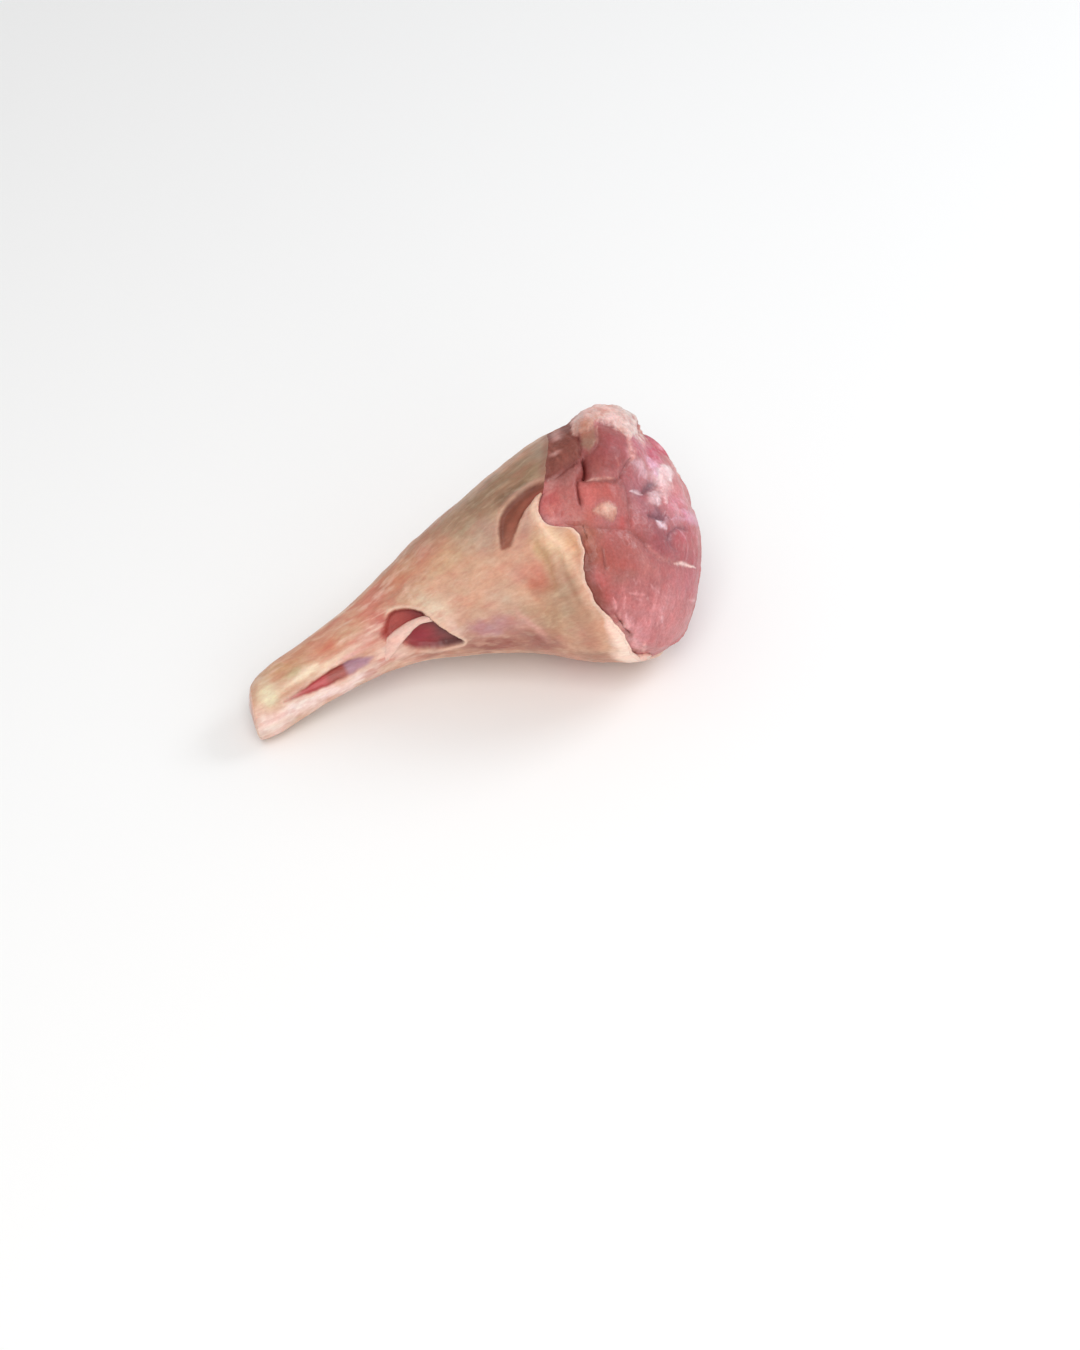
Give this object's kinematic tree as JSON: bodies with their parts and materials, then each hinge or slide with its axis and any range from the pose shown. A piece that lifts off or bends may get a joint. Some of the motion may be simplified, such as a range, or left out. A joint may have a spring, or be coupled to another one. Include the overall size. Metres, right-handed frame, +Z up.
{
  "type": "raw lamb shank",
  "caption": "Raw hind shank of lamb on the bone, lying on its side: fell-covered meat that tapers to the hock, with an open knee-end cut.",
  "frame": {"origin": "middle of the footprint box, on the surface that the shank lies on", "axes": "+X from the hock end to the knee end along the shank, +Z up, -Y towards the side that shows in the picture"},
  "size_m": [0.1987, 0.097, 0.0907],
  "materials": {
    "meat_and_fell": "moist satin",
    "bone": "moist satin"
  },
  "bodies": {
    "root": {"shank_meat": "meat_and_fell", "shin_bone": "bone"}
  },
  "joints": []
}
